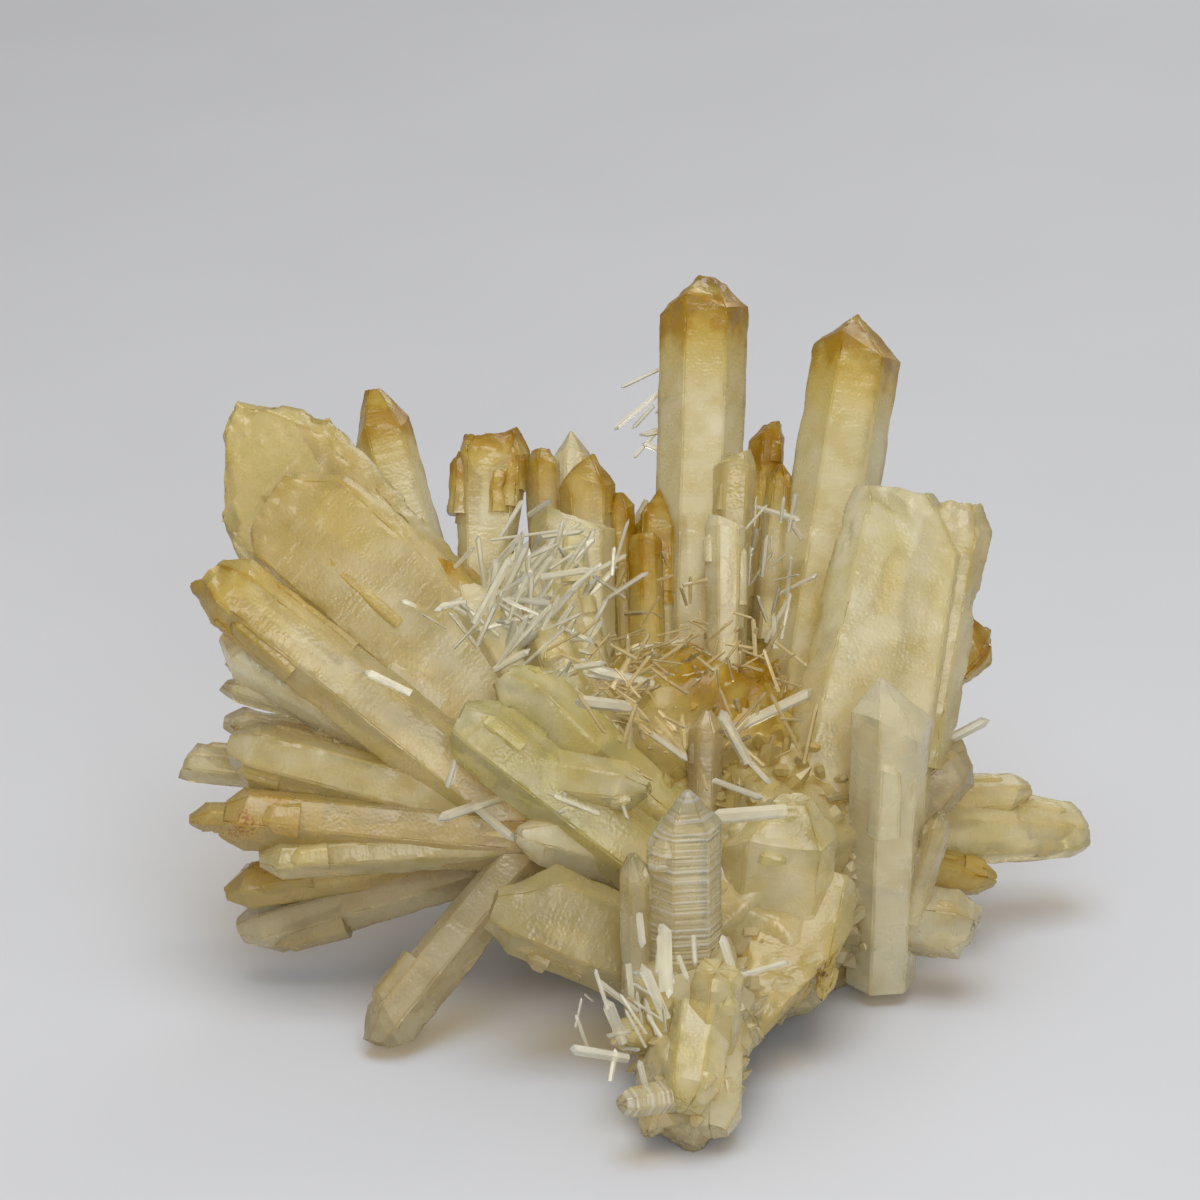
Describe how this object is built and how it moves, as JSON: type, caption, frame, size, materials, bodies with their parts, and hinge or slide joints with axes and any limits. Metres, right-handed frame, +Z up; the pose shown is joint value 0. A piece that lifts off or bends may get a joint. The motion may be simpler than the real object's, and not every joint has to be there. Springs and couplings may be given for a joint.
{
  "type": "mango quartz cluster",
  "caption": "Radiating cluster of straw-yellow quartz points and blades grown from one middle, amber at the tips, standing on a small flat spot underneath.",
  "frame": {"origin": "on the flat spot that the cluster rests on, under its middle", "axes": "+Z up, +X to the right as seen from the front, +Y away from the viewer, and the stem's toe points along -Y"},
  "size_m": [0.1349, 0.1114, 0.0931],
  "materials": {
    "mango_quartz": "satin"
  },
  "bodies": {
    "root": {"quartz_cluster": "mango_quartz"}
  },
  "joints": []
}
